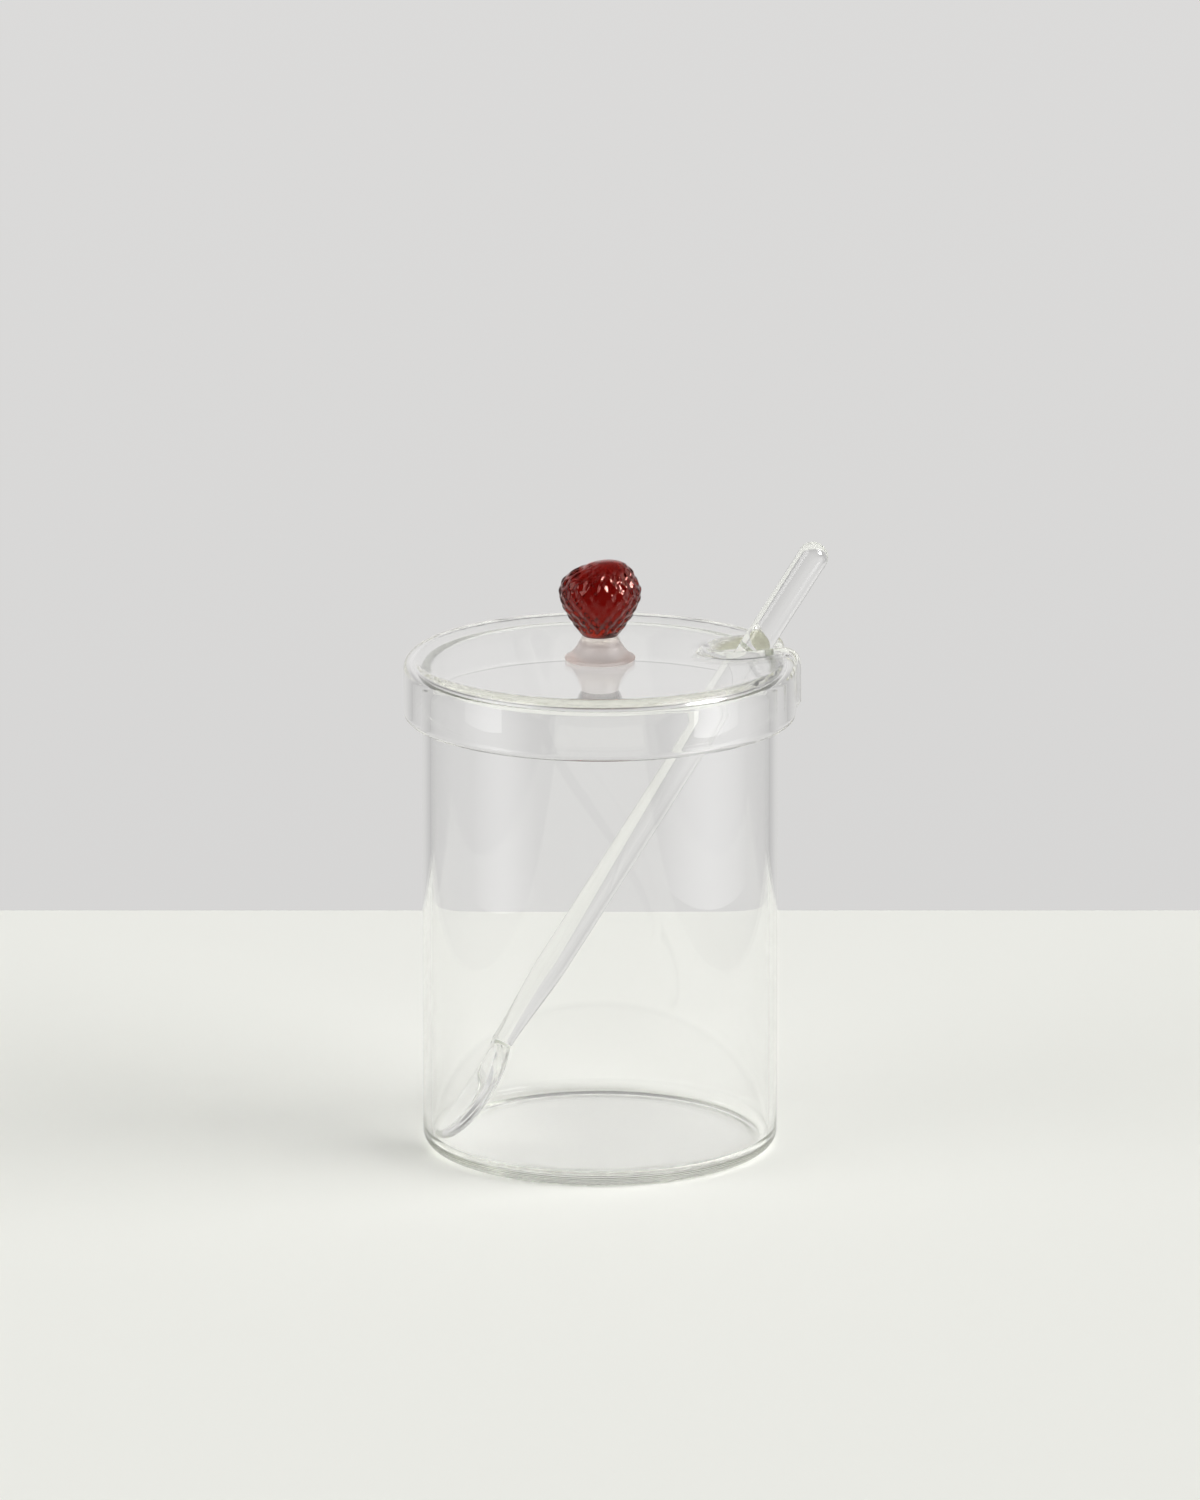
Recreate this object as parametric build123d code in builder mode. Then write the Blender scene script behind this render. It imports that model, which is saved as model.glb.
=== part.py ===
"""Clear glass jam pot: a straight jar, a notched over-fitting lid with a strawberry knob, and a leaning spoon.

The frame's origin is the centre of the jar's underside, +Z is up, and the lid's notch and the spoon lie
in the XZ plane, with the notch towards +X. All sizes are in millimetres and degrees.
"""

import os
from math import cos, radians, sin, sqrt, tan

from build123d import *

# Jar: a straight glass tube with a flat floor
jar_diameter = 72.0
jar_height = 98.8
jar_wall = 1.8
jar_floor = 2.0
jar_foot_radius = 3.0
jar_inner_corner_radius = 2.2

# Lid: a cap that stands clear of the jar's outside and rests on its rim
lid_side_gap = 1.85
lid_seat_gap = 0.3
lid_wall = 1.9
lid_height = 11.6
lid_shoulder_radius = 2.6

# Notch for the spoon, with a fire-polished bead round its edge
notch_side_gap = 2.2
notch_back_gap = 3.2
notch_bead_diameter = 2.8
notch_bead_lift = 0.15

# Foot of the knob, a flared button of clear glass
foot_diameter = 14.3
foot_height = 5.0
foot_edge_thickness = 0.9
neck_diameter = 7.3

# Strawberry, tip down on the neck; the shares shape the curve between its named heights
berry_diameter = 16.8
berry_height = 15.4
berry_belly_height = 8.8
berry_flank_height_share = 0.35
berry_flank_width_share = 0.53
berry_shoulder_height_share = 0.72
berry_shoulder_width_share = 0.71

# Spoon: a round glass rod that tapers to a small dished oval bowl
spoon_lean = 56.3
spoon_length = 143.0
spoon_rest_gap = 0.3
rod_diameter = 6.2
rod_neck_diameter = 4.2
rod_taper_length = 20.0
bowl_length = 23.0
bowl_width = 15.5
bowl_thickness = 2.6
bowl_edge_radius = 1.0
bowl_dish_radius = 30.0
bowl_weld_length = 8.0

# Jar sizes that follow from the driving dimensions
jar_radius = jar_diameter / 2
jar_bore_radius = jar_radius - jar_wall
rim_radius = jar_wall / 2

# Lid sizes
lid_underside = jar_height + lid_seat_gap
lid_top = lid_underside + lid_wall
lid_bottom = lid_top - lid_height
lid_bore_radius = jar_radius + lid_side_gap
lid_radius = lid_bore_radius + lid_wall
shoulder_centre_radius = lid_radius - lid_shoulder_radius
shoulder_centre_height = lid_top - lid_shoulder_radius
skirt_edge_radius = lid_wall / 2

# Spoon directions: along the rod, and square to it towards the jar's rim
lean = radians(spoon_lean)
along_rod = Vector(cos(lean), 0, sin(lean))
across_rod = Vector(sin(lean), 0, -cos(lean))
rod_radius = rod_diameter / 2

# The rod leans on the rounded rim, which sets where its centre line passes at the height of the rim's round
rim_round_height = jar_height - rim_radius
rod_to_rim = rod_radius + spoon_rest_gap + rim_radius
rod_x_at_rim = jar_radius - rim_radius - rod_to_rim / sin(lean)

# The bowl's rounded tip stands against the wall, above the round of the jar's inner corner
tip_radius = bowl_thickness / 2
tip_x_at_wall = -(jar_bore_radius - spoon_rest_gap - tip_radius)
tip_height_at_wall = rim_round_height - (rod_x_at_rim - tip_x_at_wall) * tan(lean)
tip_height_at_floor = jar_floor + max(jar_inner_corner_radius, tip_radius + spoon_rest_gap)
tip_height = max(tip_height_at_wall, tip_height_at_floor)
tip_x = rod_x_at_rim - (rim_round_height - tip_height) / tan(lean)
spoon_end = Vector(tip_x, 0, tip_height) - along_rod * tip_radius
rod_axis = Axis(spoon_end, along_rod)
spoon_section = Plane(origin=spoon_end, x_dir=across_rod, z_dir=(0, -1, 0))

# Notch: its clear end stands back from the rod, and its bead's centre line runs outside the clear width
rod_x_at_lid = rod_x_at_rim + (lid_underside - rim_round_height) / tan(lean)
bead_radius = notch_bead_diameter / 2
notch_half_width = rod_radius + notch_side_gap
bead_spacing = notch_half_width + bead_radius
notch_end_x = rod_x_at_lid - rod_radius / sin(lean) - notch_back_gap
notch_centre_x = notch_end_x + notch_half_width
bead_height = lid_underside + bead_radius + notch_bead_lift
bead_bend_radius = bead_height - shoulder_centre_height
bead_bend_x = sqrt(shoulder_centre_radius**2 - bead_spacing**2)
bead_foot_x = bead_bend_x + bead_bend_radius
bead_foot_height = lid_bottom + bead_radius
bead_start = Vector(bead_foot_x, -bead_spacing, bead_foot_height)

# Knob heights
berry_bottom = lid_top + foot_height
berry_radius = berry_diameter / 2
neck_radius = neck_diameter / 2
foot_radius = foot_diameter / 2
flank_radius = neck_radius + (berry_radius - neck_radius) * berry_flank_width_share
flank_height = berry_belly_height * berry_flank_height_share
shoulder_radius = berry_radius * berry_shoulder_width_share
shoulder_height = (
    berry_belly_height + (berry_height - berry_belly_height) * berry_shoulder_height_share
)

# Jar, turned as one profile: flat floor, rounded foot corner and a full round on the rim
with BuildPart() as jar:
    with BuildSketch(Plane.XZ):
        with BuildLine():
            underside = Line((0, 0), (jar_radius - jar_foot_radius, 0))
            foot_round = JernArc(underside @ 1, (1, 0), jar_foot_radius, 90)
            outside = Line(foot_round @ 1, (jar_radius, rim_round_height))
            rim = JernArc(outside @ 1, (0, 1), rim_radius, 180)
            inside = Line(rim @ 1, (jar_bore_radius, jar_floor + jar_inner_corner_radius))
            corner = JernArc(inside @ 1, (0, -1), jar_inner_corner_radius, -90)
            Polyline(corner @ 1, (0, jar_floor), (0, 0))
        make_face()
    revolve(axis=Axis.Z)
jar.part.label = "jar"

# Lid, turned as one profile, then notched from above and beaded along the notch's edge
with BuildPart() as lid:
    with BuildSketch(Plane.XZ):
        with BuildLine():
            top = Line((0, lid_top), (shoulder_centre_radius, lid_top))
            shoulder = JernArc(top @ 1, (1, 0), lid_shoulder_radius, -90)
            skirt = Line(shoulder @ 1, (lid_radius, lid_bottom + skirt_edge_radius))
            skirt_edge = JernArc(skirt @ 1, (0, -1), skirt_edge_radius, -180)
            bore = Line(skirt_edge @ 1, (lid_bore_radius, shoulder_centre_height))
            hollow = JernArc(bore @ 1, (0, 1), lid_shoulder_radius - lid_wall, 90)
            Polyline(hollow @ 1, (0, lid_underside), (0, lid_top))
        make_face()
    revolve(axis=Axis.Z)
    with BuildSketch(Plane.XY.offset(lid_bottom - lid_wall)):
        with Locations((notch_centre_x, 0)):
            Circle(bead_spacing)
            Rectangle(lid_radius, 2 * bead_spacing, align=(Align.MIN, Align.CENTER))
    extrude(amount=lid_height + 2 * lid_wall, mode=Mode.SUBTRACT)
    with BuildLine() as bead_path:
        rise = Line(bead_start, (bead_foot_x, -bead_spacing, shoulder_centre_height))
        bend = TangentArc(rise @ 1, (bead_bend_x, -bead_spacing, bead_height), tangent=rise % 1)
        edge = Line(bend @ 1, (notch_centre_x, -bead_spacing, bead_height))
        turn = ThreePointArc(
            edge @ 1,
            (notch_centre_x - bead_spacing, 0, bead_height),
            (notch_centre_x, bead_spacing, bead_height),
        )
        mirror(rise, about=Plane.XZ)
        mirror(bend, about=Plane.XZ)
        mirror(edge, about=Plane.XZ)
    with BuildSketch(Plane(origin=bead_start, z_dir=(0, 0, 1))):
        Circle(bead_radius)
    sweep(path=bead_path.wire())
    with Locations(bead_start, (bead_foot_x, bead_spacing, bead_foot_height)):
        Sphere(bead_radius)
lid.part.label = "lid"

# Foot of the knob: a thin round edge that sweeps up into the neck
with BuildPart() as knob_foot:
    with BuildSketch(Plane.XZ):
        with BuildLine():
            edge_radius = foot_edge_thickness / 2
            seat = Line((0, lid_top), (foot_radius - edge_radius, lid_top))
            foot_edge = JernArc(seat @ 1, (1, 0), edge_radius, 180)
            flare = Spline(
                foot_edge @ 1,
                (neck_radius, berry_bottom),
                tangents=((-1, 0), (0, 1)),
            )
            Polyline(flare @ 1, (0, berry_bottom), (0, lid_top))
        make_face()
    revolve(axis=Axis.Z)
knob_foot.part.label = "knob_foot"

# Strawberry: one smooth turned form, narrow at the neck and broad above
with BuildPart() as strawberry_knob:
    with BuildSketch(Plane.XZ):
        with BuildLine():
            berry_curve = Spline(
                (neck_radius, berry_bottom),
                (flank_radius, berry_bottom + flank_height),
                (berry_radius, berry_bottom + berry_belly_height),
                (shoulder_radius, berry_bottom + shoulder_height),
                (0, berry_bottom + berry_height),
                tangents=((1, 1), (-1, 0)),
            )
            Polyline(berry_curve @ 1, (0, berry_bottom), berry_curve @ 0)
        make_face()
    revolve(axis=Axis.Z)
strawberry_knob.part.label = "strawberry_knob"

# Spoon handle: a turned rod with a round upper end and a smooth taper down to the weld
with BuildPart() as spoon_handle:
    with BuildSketch(spoon_section):
        with BuildLine():
            weld = Line((0, bowl_length), (rod_neck_diameter / 2, bowl_length))
            taper = Spline(
                weld @ 1,
                (rod_radius, bowl_length + rod_taper_length),
                tangents=((0, 1), (0, 1)),
            )
            shaft = Line(taper @ 1, (rod_radius, spoon_length - rod_radius))
            round_end = JernArc(shaft @ 1, (0, 1), rod_radius, 90)
            Line(round_end @ 1, weld @ 0)
        make_face()
    revolve(axis=rod_axis)
spoon_handle.part.label = "spoon_handle"

# Spoon bowl: an oval cut from a dished shell, with a teardrop of glass where the rod was welded on
bowl_middle = spoon_end + along_rod * (bowl_length / 2)
bowl_half_chord = bowl_length / 2
dish_to_chord = sqrt(bowl_dish_radius**2 - bowl_half_chord**2)
dish_centre = bowl_middle - across_rod * dish_to_chord
bowl_plane = Plane(origin=bowl_middle, x_dir=along_rod, z_dir=across_rod)
with BuildPart() as spoon_bowl:
    with BuildSketch(bowl_plane):
        Ellipse(bowl_length / 2, bowl_width / 2)
    extrude(amount=bowl_dish_radius, both=True)
    with Locations(dish_centre):
        Sphere(bowl_dish_radius + bowl_thickness / 2, mode=Mode.INTERSECT)
        Sphere(bowl_dish_radius - bowl_thickness / 2, mode=Mode.SUBTRACT)
    fillet(spoon_bowl.edges(), bowl_edge_radius)
    with BuildSketch(spoon_section):
        with BuildLine():
            joint = Line((0, bowl_length), (rod_neck_diameter / 2, bowl_length))
            drop = Spline(
                joint @ 1,
                (0, bowl_length - bowl_weld_length),
                tangents=((0, -1), (-1, -1)),
            )
            Line(drop @ 1, joint @ 0)
        make_face()
    revolve(axis=rod_axis)
spoon_bowl.part.label = "spoon_bowl"

os.makedirs("parts", exist_ok=True)
for piece in (jar, lid, knob_foot, strawberry_knob, spoon_handle, spoon_bowl):
    export_step(piece.part, f"parts/{piece.part.label}.step")
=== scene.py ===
"""Looks of the glass jam pot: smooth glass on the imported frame, a pale table, soft light and the camera.

Sizes are in millimetres and become metres when a mesh is made. The frame's boxes give the main sizes, and
the others repeat the part's source. A run is the direction of a curve at one of its ends.
"""

from math import asin, atan2, cos, hypot, pi, radians, sin, sqrt, tan

import bpy
import numpy as np
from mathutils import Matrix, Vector, geometry, kdtree


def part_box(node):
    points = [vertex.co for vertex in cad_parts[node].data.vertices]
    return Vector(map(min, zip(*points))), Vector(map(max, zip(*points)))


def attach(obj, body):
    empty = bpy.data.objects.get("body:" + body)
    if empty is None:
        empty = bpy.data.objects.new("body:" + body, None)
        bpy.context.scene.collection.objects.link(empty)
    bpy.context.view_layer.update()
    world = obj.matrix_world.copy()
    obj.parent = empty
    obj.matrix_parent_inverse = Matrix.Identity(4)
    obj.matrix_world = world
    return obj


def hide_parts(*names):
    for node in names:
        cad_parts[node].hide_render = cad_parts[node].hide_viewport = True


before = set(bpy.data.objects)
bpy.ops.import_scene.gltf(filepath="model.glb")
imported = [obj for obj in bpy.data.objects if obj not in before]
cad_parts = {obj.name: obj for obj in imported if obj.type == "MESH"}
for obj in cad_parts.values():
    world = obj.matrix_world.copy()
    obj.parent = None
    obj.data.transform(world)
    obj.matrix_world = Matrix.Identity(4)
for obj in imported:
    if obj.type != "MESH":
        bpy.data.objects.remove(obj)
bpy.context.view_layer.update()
scene = bpy.context.scene
MM = 0.001

# Jar
jar_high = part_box("jar")[1]
jar_radius = jar_high.x / MM
jar_height = jar_high.z / MM
jar_wall = 1.8
jar_floor = 2.0
jar_foot_radius = 3.0
jar_inner_corner_radius = 2.2
jar_punt = 0.25
jar_stand_width = 3.0
jar_punt_run = (2.0, 0)
jar_segments = 200

# Lid
lid_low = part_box("lid")[0]
lid_radius = -lid_low.x / MM
lid_bottom = lid_low.z / MM
lid_wall = 1.9
lid_seat_gap = 0.3
lid_shoulder_radius = 2.6
lid_top = jar_height + lid_seat_gap + lid_wall
lid_rise = 0.7
lid_sink = 0.9

# Middle surface of the lid's sheet of glass
sheet_half = lid_wall / 2
flat_reach = lid_radius - lid_shoulder_radius
bend_radius = lid_shoulder_radius - sheet_half
bend_height = lid_top + lid_rise - lid_shoulder_radius
skirt_radius = lid_radius - sheet_half
skirt_reach = flat_reach + bend_radius * pi / 2
edge_reach = skirt_reach + bend_height - lid_bottom

# Mesh of that sheet: steps along its edge, rows set in from the edge, and rings over the rest
notch_end_steps = 28
notch_leg_steps = 70
notch_corner_steps = 10
skirt_steps = 240
edge_rows = (0.03, 0.12, 0.26, 0.45, 0.7, 1.0, 1.4, 1.9, 2.5, 3.2, 4.0)
row_clearance = 0.75
ring_clearance = 0.3
ring_points = 240
full_ring_radius = 12.0
plate_rings = np.linspace(3.0, flat_reach - 1.0, num=12)
bend_rings = np.linspace(flat_reach, skirt_reach + 2.0, num=22)
edge_tolerance = 1e-3
merge_distance = 1e-6

# Knob
foot_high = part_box("knob_foot")[1]
foot_radius = foot_high.x / MM
foot_edge_thickness = 0.9
foot_flare_run = (-3.2, 0.9)
foot_neck_run = (-0.7, 3.4)
foot_segments = 96
neck_radius = 3.65
weld_gap = 0.03
berry_low, berry_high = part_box("strawberry_knob")
berry_radius = berry_high.x / MM
berry_bottom = berry_low.z / MM
berry_top = berry_high.z / MM
berry_height = berry_top - berry_bottom
berry_belly_height = 8.8
berry_neck_run = (5.0, 5.4)
berry_flank_run = (0, 7.8)
berry_shoulder_run = (0, 10.5)
berry_top_run = (-13.0, 0)
berry_segments = 260

# Strawberry's skin: bumps in staggered rows that fade out at both ends, and a top that leans to one side
berry_bumps_round = 18
berry_row_step = 1.9
berry_bump_height = 0.2
berry_bump_centre = 0.75 * berry_belly_height
berry_skin_start = (0.6, 2.2)
berry_skin_end = (0.2, 1.2)
berry_tip_drift = 2.0
berry_drift_shares = (0.75, 1.05)

# Spoon, leaning on the jar's rounded rim with its tip against the wall, above the round of the corner
spoon_lean = radians(56.3)
spoon_length = 143.0
spoon_rest_gap = 0.3
rod_radius = 3.1
rod_neck_radius = 2.1
rod_taper_length = 20.0
bowl_length = 23.0
bowl_half_width = 7.75
bowl_half_thickness = 1.3
bowl_dish_radius = 30.0
bowl_neck_shares = (0.55, 0.9)
bowl_weld_start = 14.0
spoon_segments = 160
along_rod = Vector((cos(spoon_lean), 0, sin(spoon_lean)))
across_rod = Vector((sin(spoon_lean), 0, -cos(spoon_lean)))
rim_radius = jar_wall / 2
rim_round_height = jar_height - rim_radius
rod_to_rim = rod_radius + spoon_rest_gap + rim_radius
rod_x_at_rim = jar_radius - rim_radius - rod_to_rim / sin(spoon_lean)
tip_x_at_wall = -(jar_radius - jar_wall - spoon_rest_gap - bowl_half_thickness)
tip_height_at_wall = rim_round_height - (rod_x_at_rim - tip_x_at_wall) * tan(spoon_lean)
tip_height = max(tip_height_at_wall, jar_floor + jar_inner_corner_radius)
tip_x = rod_x_at_rim - (rim_round_height - tip_height) / tan(spoon_lean)
spoon_end = Vector((tip_x, 0, tip_height)) - along_rod * bowl_half_thickness

# Notch in the lid, clear of the rod, with its fire-polished lip
notch_side_gap = 2.2
notch_back_gap = 3.2
rod_x_at_lid = rod_x_at_rim + (lid_top - lid_wall - rim_round_height) / tan(spoon_lean)
notch_end_x = rod_x_at_lid - rod_radius / sin(spoon_lean) - notch_back_gap
notch_half_width = rod_radius + notch_side_gap
notch_corner_radius = 2.2
notch_centre_x = notch_end_x + notch_half_width
lip_radius = 1.4
lip_lift = 0.6
lip_fade = 2.4

# Camera
camera_azimuth = radians(-14.0)
camera_elevation = radians(14.2)
camera_distance = 3000.0
camera_aim_height = 82.0
camera_reach = 20000.0
view_height = 303.4
to_camera = Vector((sin(camera_azimuth), -cos(camera_azimuth), 0))
to_right = Vector((cos(camera_azimuth), sin(camera_azimuth), 0))

# Table
table_back = 185.0
table_front = 440.0
table_half_width = 185.0
table_thickness = 30.0
table_gap = 0.02
table_edge_radius = 2.0
table_colour = (0.82, 0.83, 0.79)
table_roughness = 0.6
table_gloss = 0.1

# Brightness of the room round the jar
back_wall_levels = (0.665, 0.72)
flank_level = 0.5
side_wall_level = 0.6
near_room_level = 0.28
lit_ceiling_level = 0.8
ceiling_level = 0.22
room_colour = (1, 0.992, 0.983)

# Where the room's zones pass into each other, by rise above level as a sine
back_wall_foot = (-0.3, -0.16)
table_horizon = (-0.02, 0.0)
ceiling_start = (0.02, 0.2)
high_ceiling_start = (0.25, 0.55)

# Where they do so by nearness to the camera's side, as a cosine
back_wall_edge = (-0.97, -0.8)
flank_edge = (-0.75, -0.5)
lit_ceiling_edge = (-0.4, 0.3)
near_room_edge = (0.4, 0.9)

# Soft round lights in the room: turn, elevation, and radius of core and edge in degrees, and brightness
lamps = ((77, 27, 18, 34, 5.9), (-66, 27, 14, 32, 2.4))
mirrored_lamps = ((72, 33, 8, 14, 46.0), (77, 44, 14, 26, 3.6), (-66, 40, 10, 24, 4.5))
refracted_lamp_share = 0.08

# Cards that stand round the jar and face it
card_distance = 125.0
card_aim_height = 102.0

# How far glass bends light, and how often light may pass through it or off it
glass_ior = 1.47
light_bounces = 128


def arc(centre, radius, start, end, steps):
    """Points of an arc in a profile, angles in degrees from the outward direction."""
    angles = np.radians(np.linspace(start, end, steps))
    return [(centre[0] + radius * cos(a), centre[1] + radius * sin(a)) for a in angles]


def straight(start, end, steps):
    """Points of a straight line in a profile, without its two ends."""
    shares = np.linspace(0, 1, steps + 2)[1:-1]
    return [tuple(np.array(start) * (1 - s) + np.array(end) * s) for s in shares]


def curve(start, leave, arrive, end, steps):
    """Points of a cubic curve in a profile, from its end points and the directions there."""
    p, q = np.array(start), np.array(end)
    a, b = p + np.array(leave) / 3, q - np.array(arrive) / 3
    shares = np.linspace(0, 1, steps)
    return [
        tuple(p * (1 - t) ** 3 + 3 * a * t * (1 - t) ** 2 + 3 * b * t**2 * (1 - t) + q * t**3)
        for t in shares
    ]


def smooth_step(low, high, value):
    """0 below low, 1 above high, and an even curve between them."""
    share = min(1.0, max(0.0, (value - low) / (high - low)))
    return share * share * (3 - 2 * share)


def ring_faces(ring_count, segments):
    """Faces of rings of points, with one point before the first ring and one after the last."""
    faces = []
    last_ring = 1 + (ring_count - 1) * segments
    for i in range(segments):
        j = (i + 1) % segments
        faces.append((0, 1 + j, 1 + i))
        for a in range(1, last_ring, segments):
            b = a + segments
            faces.append((a + i, a + j, b + j, b + i))
        faces.append((last_ring + i, last_ring + j, last_ring + segments))
    return faces


def turned(profile, segments):
    """Points and faces of a profile of (radius, height) turned about Z, from the axis round to the axis."""
    angles = np.linspace(0, 2 * pi, segments, endpoint=False)
    points = [Vector((0, 0, profile[0][1]))]
    for radius, height in profile[1:-1]:
        points += [Vector((radius * cos(a), radius * sin(a), height)) for a in angles]
    points.append(Vector((0, 0, profile[-1][1])))
    return points, ring_faces(len(profile) - 2, segments)


def piece(name, points, faces, material, body, slot, *nodes):
    """A smooth mesh piece that rides on a body and stands for CAD nodes."""
    mesh = bpy.data.meshes.new(name)
    mesh.from_pydata([Vector(p) * MM for p in points], [], faces)
    mesh.validate()
    mesh.shade_smooth()
    mesh.materials.append(material)
    thing = bpy.data.objects.new(name, mesh)
    scene.collection.objects.link(thing)
    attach(thing, body)
    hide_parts(*nodes)
    return thing


def glass(name, absorption, density, wave_scale, wave_depth, roughness=0.0, mirror_colour=(1, 1, 1)):
    """Glass with colour that comes from depth, slow waves in its surface and a tint on what it mirrors."""
    material = bpy.data.materials.new(name)
    material.use_nodes = True
    nodes = material.node_tree.nodes
    links = material.node_tree.links
    shader = nodes["Principled BSDF"]
    shader.inputs["Base Color"].default_value = (1, 1, 1, 1)
    shader.inputs["Transmission Weight"].default_value = 1.0
    shader.inputs["IOR"].default_value = glass_ior
    shader.inputs["Roughness"].default_value = roughness
    shader.inputs["Specular Tint"].default_value = (*mirror_colour, 1)
    place = nodes.new("ShaderNodeTexCoord")
    waves = nodes.new("ShaderNodeTexNoise")
    waves.inputs["Scale"].default_value = wave_scale
    waves.inputs["Detail"].default_value = 1.0
    bump = nodes.new("ShaderNodeBump")
    bump.inputs["Strength"].default_value = 1.0
    bump.inputs["Distance"].default_value = wave_depth * MM
    depth = nodes.new("ShaderNodeVolumeAbsorption")
    depth.inputs["Color"].default_value = (*absorption, 1)
    depth.inputs["Density"].default_value = density
    links.new(place.outputs["Object"], waves.inputs["Vector"])
    links.new(waves.outputs["Fac"], bump.inputs["Height"])
    links.new(bump.outputs["Normal"], shader.inputs["Normal"])
    links.new(depth.outputs["Volume"], nodes["Material Output"].inputs["Volume"])
    return material


def make_jar(material):
    """The straight jar: a floor on a narrow standing ring, round corners and a rounded rim."""
    bore = jar_radius - jar_wall
    corner = jar_inner_corner_radius
    stand = jar_radius - jar_foot_radius
    punt = stand - jar_stand_width
    profile = [(0, jar_punt), *straight((0, jar_punt), (punt, jar_punt), steps=6)]
    profile += curve((punt, jar_punt), jar_punt_run, jar_punt_run, (stand, 0), steps=6)[:-1]
    profile += arc((stand, jar_foot_radius), jar_foot_radius, -90, 0, steps=14)
    profile += straight((jar_radius, jar_foot_radius), (jar_radius, rim_round_height), steps=40)
    profile += arc((jar_radius - rim_radius, rim_round_height), rim_radius, 0, 180, steps=16)
    profile += straight((bore, rim_round_height), (bore, jar_floor + corner), steps=40)
    profile += arc((bore - corner, jar_floor + corner), corner, 0, -90, steps=12)
    profile += straight((bore - corner, jar_floor), (0, jar_floor), steps=8)
    profile.append((0, jar_floor))
    points, faces = turned(profile, jar_segments)
    return piece("jar_glass", points, faces, material, "jar", "clear_glass", "jar")


def lid_profile(reach):
    """Radius, height and outward direction of the lid's middle surface, by reach from its centre."""
    if reach <= flat_reach:
        slope = 2 * lid_sink * reach / flat_reach**2
        height = bend_height + bend_radius - lid_sink * (1 - (reach / flat_reach) ** 2)
        return reach, height, -slope, 1.0
    if reach >= skirt_reach:
        return skirt_radius, bend_height - (reach - skirt_reach), 1.0, 0.0
    turn = (reach - flat_reach) / bend_radius
    return flat_reach + bend_radius * sin(turn), bend_height + bend_radius * cos(turn), sin(turn), cos(turn)


def lid_point(x, y):
    """Place and outward direction on the lid's middle surface, from its flattened coordinates."""
    turn = atan2(y, x)
    radius, height, out, up = lid_profile(hypot(x, y))
    place = Vector((radius * cos(turn), radius * sin(turn), height))
    return place, Vector((out * cos(turn), out * sin(turn), up)).normalized()


def lid_outline():
    """The edge of the lid's flattened sheet as (x, y, share of lip): 1 at the notch, 0 at the skirt."""
    half = []
    for turn in np.linspace(pi, pi / 2, notch_end_steps):
        half.append((notch_centre_x + notch_half_width * cos(turn), notch_half_width * sin(turn), 1.0))
    leg_start = hypot(notch_centre_x, notch_half_width)
    for reach in np.linspace(leg_start, edge_reach - notch_corner_radius, notch_leg_steps)[1:]:
        turn = asin(notch_half_width / lid_profile(reach)[0])
        half.append((reach * cos(turn), reach * sin(turn), 1.0))
    corner_side = asin(notch_half_width / skirt_radius) * skirt_radius + notch_corner_radius
    for turn in np.linspace(pi, pi / 2, notch_corner_steps)[1:]:
        reach = edge_reach - notch_corner_radius + notch_corner_radius * sin(turn)
        side = (corner_side + notch_corner_radius * cos(turn)) / skirt_radius
        half.append((reach * cos(side), reach * sin(side), (turn - pi / 2) / (pi / 2)))
    for side in np.linspace(corner_side / skirt_radius, pi, skirt_steps)[1:]:
        half.append((edge_reach * cos(side), edge_reach * sin(side), 0.0))
    return half + [(x, -y, share) for x, y, share in reversed(half[1:-1])]


def lid_spots(outline, tree):
    """Points over the lid's flattened sheet: close rows along its edge, then rings over the rest."""
    edge = np.array([(x, y) for x, y, share in outline])
    ahead = np.roll(edge, -1, axis=0) - np.roll(edge, 1, axis=0)
    inward = np.stack([-ahead[:, 1], ahead[:, 0]], axis=1)
    inward /= np.linalg.norm(inward, axis=1)[:, None]
    spots = [Vector(spot) for spot in edge]
    for row in edge_rows:
        for spot in edge + inward * row:
            if tree.find(lid_point(*spot)[0])[2] > row_clearance * row:
                spots.append(Vector(spot))
    for ring in (*plate_rings, *bend_rings):
        count = int(ring_points * min(1, ring / full_ring_radius))
        for turn in np.linspace(0, 2 * pi, count, endpoint=False):
            spot = (ring * cos(turn), ring * sin(turn))
            in_notch = abs(spot[1]) < notch_half_width and spot[0] > notch_end_x
            if not in_notch and tree.find(lid_point(*spot)[0])[2] > edge_rows[-1] + ring_clearance:
                spots.append(Vector(spot))
    return spots


def make_lid(material):
    """The lid as one sheet of glass: dished top, round shoulder, short skirt and a notch with a soft lip."""
    outline = lid_outline()
    tree = kdtree.KDTree(len(outline))
    for index, (x, y, share) in enumerate(outline):
        tree.insert(lid_point(x, y)[0], index)
    tree.balance()
    border = [(i, (i + 1) % len(outline)) for i in range(len(outline))]
    spots = lid_spots(outline, tree)
    flat, _, triangles, *_ = geometry.delaunay_2d_cdt(spots, border, [], 1, merge_distance)
    upper, lower, under = [], [], {}
    for index, spot in enumerate(flat):
        place, out = lid_point(*spot)
        _, nearest, distance = tree.find(place)
        share = outline[nearest][2]
        lip = sheet_half + (lip_radius - sheet_half) * share
        fade = 1 - smooth_step(0, lip_fade, distance - lip)
        half = sheet_half + (lip - sheet_half) * fade
        if distance < lip:
            half = sqrt(lip**2 - (lip - distance) ** 2)
        lift = lip_lift * share * fade
        upper.append(place + out * (lift + half))
        under[index] = index
        if distance > edge_tolerance:
            under[index] = len(flat) + len(lower)
            lower.append(place + out * (lift - half))
    faces = [tuple(t) for t in triangles] + [tuple(under[i] for i in reversed(t)) for t in triangles]
    return piece("lid_glass", upper + lower, faces, material, "lid", "clear_glass", "lid")


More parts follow.
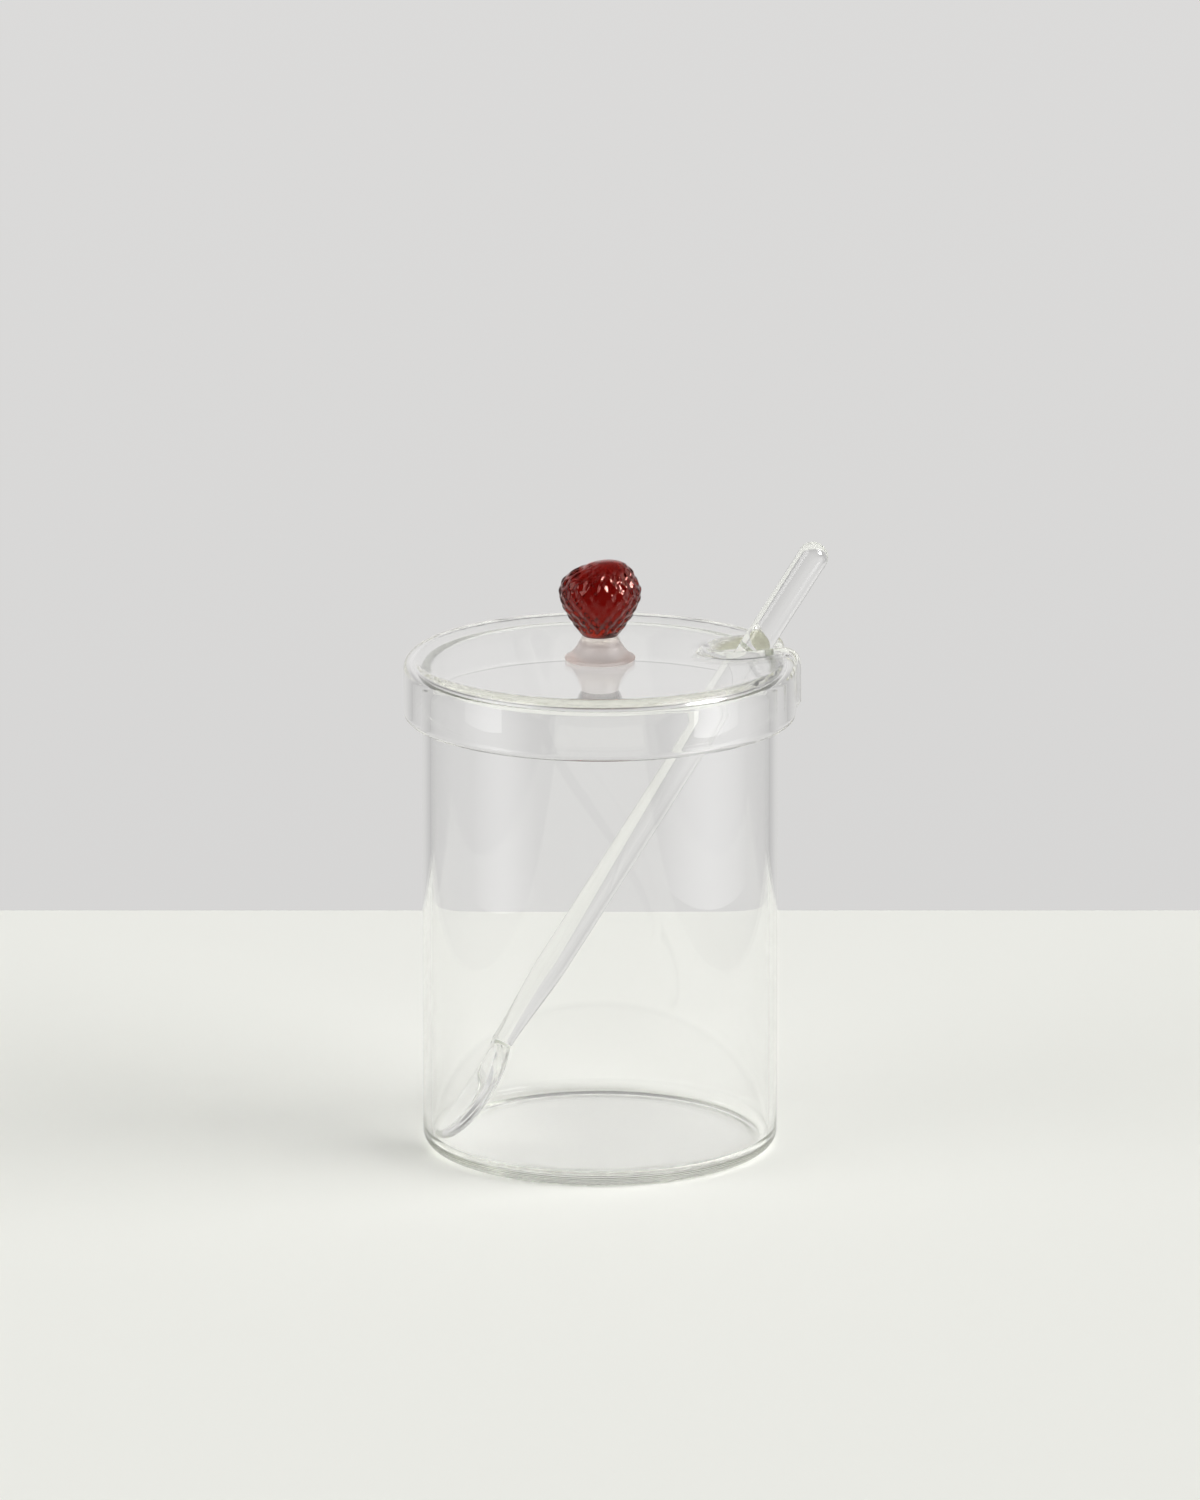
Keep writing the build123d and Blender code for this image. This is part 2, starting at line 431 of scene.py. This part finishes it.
def make_foot(material):
    """The knob's foot: a thin round edge that sweeps up into the neck."""
    seat = lid_top + lid_rise - lid_sink * (1 - (foot_radius / flat_reach) ** 2) + weld_gap
    top = berry_bottom - weld_gap
    edge = (foot_edge_thickness - weld_gap) / 2
    edge_centre = (foot_radius - edge, seat + edge)
    profile = [(0, seat), *straight((0, seat), (foot_radius - edge, seat), steps=6)]
    profile += arc(edge_centre, edge, -90, 90, steps=14)
    flare_start = (edge_centre[0], edge_centre[1] + edge)
    neck = (neck_radius, top - weld_gap)
    profile += curve(flare_start, foot_flare_run, foot_neck_run, neck, steps=26)[1:]
    profile += [(neck_radius - weld_gap, top), *straight((neck_radius, top), (0, top), steps=4), (0, top)]
    points, faces = turned(profile, foot_segments)
    return piece("knob_foot_glass", points, faces, material, "lid", "pale_glass", "knob_foot")


def berry_profile():
    """The strawberry's outline: out from the neck, over the belly and in over the broad top."""
    neck = (neck_radius, berry_bottom + weld_gap)
    belly = (berry_radius, berry_bottom + berry_belly_height)
    top = (0, berry_top)
    lower = curve(neck, berry_neck_run, berry_flank_run, belly, steps=64)
    upper = curve(belly, berry_shoulder_run, berry_top_run, top, steps=64)
    base = [(0, neck[1]), *straight((0, neck[1]), neck, steps=4), (neck_radius - weld_gap, neck[1])]
    return base, lower + upper[1:]


def make_berry(material):
    """The strawberry: a turned form covered with staggered rows of small bumps."""
    base, side = berry_profile()
    points, faces = turned(base + side, berry_segments)
    middle = Vector((0, 0, berry_bottom + berry_bump_centre))
    bumped = []
    for point in points:
        rise = point.z - berry_bottom
        rows = cos(pi * rise / berry_row_step) * cos(berry_bumps_round * atan2(point.y, point.x))
        skin = smooth_step(*berry_skin_start, rise) * smooth_step(*berry_skin_end, berry_height - rise)
        point = point + (point - middle).normalized() * berry_bump_height * (rows - 1) * skin
        drift = berry_tip_drift * smooth_step(*berry_drift_shares, rise / berry_height)
        bumped.append(point + to_right * drift)
    return piece("strawberry_glass", bumped, faces, material, "lid", "red_glass", "strawberry_knob")


def spoon_section(along):
    """Half width and half thickness of the spoon's section, by length from the bowl's tip."""
    taper = smooth_step(bowl_length, bowl_length + rod_taper_length, along)
    rod = rod_neck_radius + (rod_radius - rod_neck_radius) * taper
    end = spoon_length - along
    if end < rod_radius:
        rod = sqrt(max(0.0, rod_radius**2 - (rod_radius - end) ** 2))
    if along >= bowl_length:
        return rod, rod
    middle = bowl_length / 2
    oval = bowl_half_width * sqrt(max(0.0, 1 - ((along - middle) / middle) ** 2))
    neck = rod_neck_radius * smooth_step(*bowl_neck_shares, along / bowl_length)
    width = (oval**4 + neck**4) ** 0.25
    weld = smooth_step(bowl_weld_start, bowl_length, along)
    thick = bowl_half_thickness + (rod_neck_radius - bowl_half_thickness) * weld
    if along < bowl_half_thickness:
        thick *= sqrt(1 - (1 - along / bowl_half_thickness) ** 2)
    return width, thick


def dish_depth(along, side):
    """How far the bowl's middle surface lies below the rod's axis."""
    middle = bowl_length / 2
    if along >= bowl_length:
        return 0.0
    chord = sqrt(bowl_dish_radius**2 - middle**2)
    return max(0.0, sqrt(max(0.0, bowl_dish_radius**2 - (along - middle) ** 2 - side**2)) - chord)


def make_spoon(material):
    """The spoon in one piece: a round rod that flattens into a small dished oval."""
    taper_end = bowl_length + rod_taper_length
    tip = [bowl_half_thickness * (1 - cos(t)) for t in np.linspace(0, pi / 2, num=9)[1:]]
    bowl = list(np.linspace(bowl_half_thickness, bowl_length, num=52)[1:])
    taper = list(np.linspace(bowl_length, taper_end, num=26)[1:])
    shaft = list(np.linspace(taper_end, spoon_length - rod_radius, num=30)[1:])
    cap = [spoon_length - rod_radius * (1 - sin(t)) for t in np.linspace(0, pi / 2, num=14)[1:-1]]
    stations = tip + bowl + taper + shaft + cap
    points = [spoon_end]
    for along in stations:
        width, thick = spoon_section(along)
        for turn in np.linspace(2 * pi, 0, spoon_segments, endpoint=False):
            side = width * cos(turn)
            set_off = dish_depth(along, side) + thick * sin(turn)
            points.append(spoon_end + along_rod * along + across_rod * set_off + Vector((0, side, 0)))
    points.append(spoon_end + along_rod * spoon_length)
    faces = ring_faces(len(stations), spoon_segments)
    nodes = ("spoon_handle", "spoon_bowl")
    return piece("spoon_glass", points, faces, material, "spoon", "clear_glass", *nodes)


def stage_point(right, near, height):
    """A point of the stage, by how far right of the jar, how far towards the camera, and its height."""
    return to_right * right + to_camera * near + Vector((0, 0, height))


def stage_direction(turn, elevation):
    """A direction from the jar, turned from the camera's side towards its right and raised, in degrees."""
    level = to_camera * cos(radians(turn)) + to_right * sin(radians(turn))
    return level * cos(radians(elevation)) + Vector((0, 0, sin(radians(elevation))))


def make_table():
    """A plain pale table top with a soft edge."""
    material = bpy.data.materials.new("table_white")
    material.use_nodes = True
    shader = material.node_tree.nodes["Principled BSDF"]
    shader.inputs["Base Color"].default_value = (*table_colour, 1)
    shader.inputs["Roughness"].default_value = table_roughness
    shader.inputs["Specular IOR Level"].default_value = table_gloss
    corners = []
    for height in (-table_thickness, -table_gap):
        corners.append(stage_point(-table_half_width, table_front, height))
        corners.append(stage_point(table_half_width, table_front, height))
        corners.append(stage_point(table_half_width, -table_back, height))
        corners.append(stage_point(-table_half_width, -table_back, height))
    faces = [(3, 2, 1, 0), (4, 5, 6, 7), (0, 1, 5, 4), (1, 2, 6, 5), (2, 3, 7, 6), (3, 0, 4, 7)]
    mesh = bpy.data.meshes.new("table")
    mesh.from_pydata([corner * MM for corner in corners], [], faces)
    mesh.materials.append(material)
    table = bpy.data.objects.new("table", mesh)
    scene.collection.objects.link(table)
    bevel = table.modifiers.new("soft edge", "BEVEL")
    bevel.width = table_edge_radius * MM
    bevel.segments = 4


def eased(tree, value, values, levels):
    """A Map Range node in a node tree, from one level to another as a value goes from low to high."""
    node = tree.nodes.new("ShaderNodeMapRange")
    node.interpolation_type = "SMOOTHSTEP"
    node.inputs["From Min"].default_value, node.inputs["From Max"].default_value = values
    node.inputs["To Min"].default_value, node.inputs["To Max"].default_value = levels
    tree.links.new(value, node.inputs["Value"])
    return node.outputs["Result"]


def feed(tree, value, socket):
    """Gives a node's socket a fixed number or the value of another node."""
    if isinstance(value, float):
        socket.default_value = value
    else:
        tree.links.new(value, socket)


def blended(tree, share, low, high):
    """A Mix node in a node tree, from a low value to a high one."""
    node = tree.nodes.new("ShaderNodeMix")
    feed(tree, share, node.inputs["Factor"])
    feed(tree, low, node.inputs["A"])
    feed(tree, high, node.inputs["B"])
    return node.outputs["Result"]


def combined(tree, operation, first, second):
    """A Math node in a node tree, of two values."""
    node = tree.nodes.new("ShaderNodeMath")
    node.operation = operation
    tree.links.new(first, node.inputs[0])
    tree.links.new(second, node.inputs[1])
    return node.outputs["Value"]


def closeness(tree, direction, aim):
    """How near a direction in a node tree lies to a fixed one, as a cosine."""
    node = tree.nodes.new("ShaderNodeVectorMath")
    node.operation = "DOT_PRODUCT"
    node.inputs[1].default_value = aim
    tree.links.new(direction, node.inputs[0])
    return node.outputs["Value"]


def lamp_glow(tree, direction, soft_lamps):
    """The light of some soft round lamps, by direction from the jar."""
    total = None
    for turn, elevation, core, edge, brightness in soft_lamps:
        near = closeness(tree, direction, stage_direction(turn, elevation))
        glow = eased(tree, near, (cos(radians(edge)), cos(radians(core))), (0, brightness))
        total = combined(tree, "ADD", total, glow) if total else glow
    return total


def make_world():
    """A studio room: a pale wall, brightest behind the jar and dim near the camera, under a dark ceiling.

    The broad lamps light the table, and the mirrored lamps show only in the glass. The room below the
    table's level gives no light: it shows only to the camera and in the glass.
    """
    world = bpy.data.worlds.new("studio")
    scene.world = world
    world.use_nodes = True
    tree = world.node_tree
    direction = tree.nodes.new("ShaderNodeTexCoord").outputs["Generated"]
    split = tree.nodes.new("ShaderNodeSeparateXYZ")
    tree.links.new(direction, split.inputs["Vector"])
    rise = split.outputs["Z"]
    nearness = closeness(tree, direction, to_camera)
    back_wall = eased(tree, rise, back_wall_foot, back_wall_levels)
    flank = eased(tree, nearness, flank_edge, (flank_level, side_wall_level))
    side_wall = blended(tree, eased(tree, nearness, near_room_edge, (0, 1)), flank, near_room_level)
    low = blended(tree, eased(tree, nearness, back_wall_edge, (0, 1)), back_wall, side_wall)
    lit = eased(tree, nearness, lit_ceiling_edge, (lit_ceiling_level, ceiling_level))
    high = blended(tree, eased(tree, rise, high_ceiling_start, (0, 1)), lit, ceiling_level)
    level = blended(tree, eased(tree, rise, ceiling_start, (0, 1)), low, high)
    ray = tree.nodes.new("ShaderNodeLightPath")
    in_view = combined(tree, "MAXIMUM", ray.outputs["Is Camera Ray"], ray.outputs["Is Glossy Ray"])
    in_view = combined(tree, "MAXIMUM", in_view, ray.outputs["Is Transmission Ray"])
    above_table = eased(tree, rise, table_horizon, (0, 1))
    level = combined(tree, "MULTIPLY", level, combined(tree, "MAXIMUM", in_view, above_table))
    lamp_light = lamp_glow(tree, direction, lamps)
    glint = eased(tree, ray.outputs["Is Transmission Ray"], (0, 1), (1, refracted_lamp_share))
    mirrored_light = combined(tree, "MULTIPLY", lamp_glow(tree, direction, mirrored_lamps), glint)
    unscattered = eased(tree, ray.outputs["Diffuse Depth"], (0, 1), (1, 0))
    mirrored = combined(tree, "MULTIPLY", ray.outputs["Is Glossy Ray"], unscattered)
    light = blended(tree, mirrored, lamp_light, mirrored_light)
    level = combined(tree, "ADD", level, light)
    background = tree.nodes["Background"]
    background.inputs["Color"].default_value = (*room_colour, 1)
    tree.links.new(level, background.inputs["Strength"])


def make_card(name, turn, elevation, width, height, brightness, spread):
    """A pale card that faces the jar and shows only as a soft light in the glass."""
    lamp = bpy.data.lights.new(name, "AREA")
    lamp.shape = "RECTANGLE"
    lamp.size = width * MM
    lamp.size_y = height * MM
    lamp.spread = radians(spread)
    half = lamp.spread / 2
    focus = tan(half) / (tan(half) - half)
    lamp.energy = brightness * pi * lamp.size * lamp.size_y / focus
    card = bpy.data.objects.new(name, lamp)
    scene.collection.objects.link(card)
    away = stage_direction(turn, elevation)
    card.location = (Vector((0, 0, card_aim_height)) + away * card_distance) * MM
    card.rotation_euler = away.to_track_quat("Z", "Y").to_euler()
    card.visible_camera = False
    card.visible_diffuse = False
    card.visible_transmission = False


def make_camera():
    """The camera, far off with a long lens, in the photograph's view."""
    data = bpy.data.cameras.new("camera")
    camera = bpy.data.objects.new("camera", data)
    scene.collection.objects.link(camera)
    scene.camera = camera
    data.lens = data.sensor_width * camera_distance / view_height
    away = to_camera * cos(camera_elevation) + Vector((0, 0, sin(camera_elevation)))
    camera.location = (Vector((0, 0, camera_aim_height)) + away * camera_distance) * MM
    camera.rotation_euler = away.to_track_quat("Z", "Y").to_euler()
    data.clip_end = camera_reach * MM


clear_glass = glass("clear_glass", (0.65, 0.775, 0.3), density=1.2, wave_scale=60.0, wave_depth=0.01)
lid_glass = glass("lid_glass", (0.77, 0.77, 0.2), density=1.2, wave_scale=60.0, wave_depth=0.004)
pale_glass = glass(
    "pale_glass", (0.62, 0.38, 0.3), density=36.0, wave_scale=120.0, wave_depth=0.01,
    roughness=0.3, mirror_colour=(0.4, 0.4, 0.4),
)
red_glass = glass(
    "red_glass", (0.8, 0.2, 0.0), density=560.0, wave_scale=150.0, wave_depth=0.002,
    mirror_colour=(0.9, 0.4, 0.35),
)

make_jar(clear_glass)
make_lid(lid_glass)
make_foot(pale_glass)
make_berry(red_glass)
make_spoon(clear_glass)
make_table()
make_world()
make_card("right_card", turn=75, elevation=-9, width=190, height=100, brightness=2.5, spread=70)
make_card("left_card", turn=-66, elevation=-9, width=150, height=100, brightness=2.1, spread=50)
make_card("right_skirt_card", turn=62, elevation=-10.6, width=60, height=16, brightness=4.0, spread=60)
make_card("left_skirt_card", turn=-62, elevation=-10.6, width=50, height=14, brightness=2.5, spread=60)
make_camera()

scene.view_settings.view_transform = "Standard"
scene.cycles.max_bounces = light_bounces
scene.cycles.transmission_bounces = light_bounces
scene.cycles.glossy_bounces = light_bounces
scene.cycles.blur_glossy = 0.0
